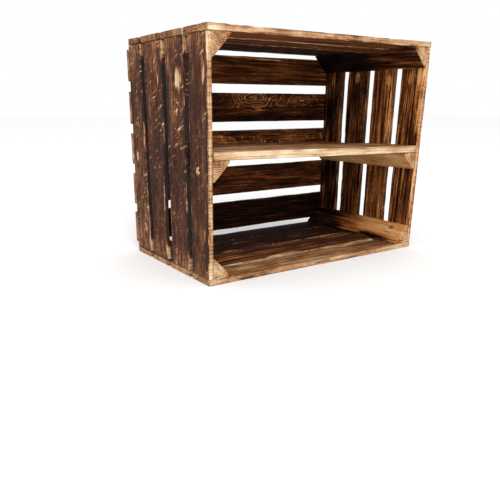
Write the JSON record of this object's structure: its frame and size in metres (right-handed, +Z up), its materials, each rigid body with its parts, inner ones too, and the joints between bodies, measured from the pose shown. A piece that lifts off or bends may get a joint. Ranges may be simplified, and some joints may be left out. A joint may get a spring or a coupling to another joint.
{
  "type": "wooden apple crate",
  "caption": "Torched wooden apple crate lying on a long side, open to the front, with slatted walls, corner posts and a loose middle shelf on battens.",
  "frame": {"origin": "middle of the base, on the surface that the crate lies on", "axes": "+Z up, the open mouth faces -Y, +X to the right of someone who looks into the mouth"},
  "size_m": [0.5, 0.29, 0.4],
  "materials": {
    "torched_wood": "rough sawn, torched brown, with paler scraped edges",
    "charred_wood": "rough sawn, torched nearly black, with light grain lines",
    "post_wood": "sawn on the diagonal, pale, lightly torched",
    "shelf_wood": "sawn, pale, barely torched",
    "nail": "dull and darkened by the torch"
  },
  "bodies": {
    "crate": {"left_slat_1": "torched_wood", "left_slat_2": "torched_wood", "left_slat_3": "torched_wood", "left_slat_4": "torched_wood", "right_slat_1": "torched_wood", "right_slat_2": "torched_wood", "right_slat_3": "torched_wood", "right_slat_4": "torched_wood", "top_slat_1": "torched_wood", "top_slat_2": "torched_wood", "top_slat_3": "torched_wood", "top_slat_4": "torched_wood", "bottom_slat_1": "torched_wood", "bottom_slat_2": "torched_wood", "bottom_slat_3": "torched_wood", "bottom_slat_4": "torched_wood", "back_slat_1": "charred_wood", "back_slat_2": "charred_wood", "back_slat_3": "charred_wood", "back_slat_4": "charred_wood", "back_slat_5": "charred_wood", "corner_post_bottom_left": "post_wood", "corner_post_bottom_right": "post_wood", "corner_post_top_left": "post_wood", "corner_post_top_right": "post_wood", "shelf_batten_left": "shelf_wood", "shelf_batten_right": "shelf_wood", "back_nail_left_1_high": "nail", "back_nail_left_1_low": "nail", "back_nail_left_2_high": "nail", "back_nail_left_2_low": "nail", "back_nail_left_3_high": "nail", "back_nail_left_3_low": "nail", "back_nail_left_4_high": "nail", "back_nail_left_4_low": "nail", "back_nail_left_5_high": "nail", "back_nail_left_5_low": "nail", "back_nail_right_1_high": "nail", "back_nail_right_1_low": "nail", "back_nail_right_2_high": "nail", "back_nail_right_2_low": "nail", "back_nail_right_3_high": "nail", "back_nail_right_3_low": "nail", "back_nail_right_4_high": "nail", "back_nail_right_4_low": "nail", "back_nail_right_5_high": "nail", "back_nail_right_5_low": "nail", "batten_nail_left_1": "nail", "batten_nail_left_2": "nail", "batten_nail_left_3": "nail", "batten_nail_left_4": "nail", "batten_nail_right_1": "nail", "batten_nail_right_2": "nail", "batten_nail_right_3": "nail", "batten_nail_right_4": "nail"},
    "shelf": {"shelf_board_front": "shelf_wood", "shelf_board_rear": "shelf_wood"}
  },
  "joints": [
    {"name": "shelf_slide", "type": "slide", "parent": "crate", "child": "shelf", "axis": [0, -0.9999, 0.0125], "range_m": [0, 0.13]}
  ]
}
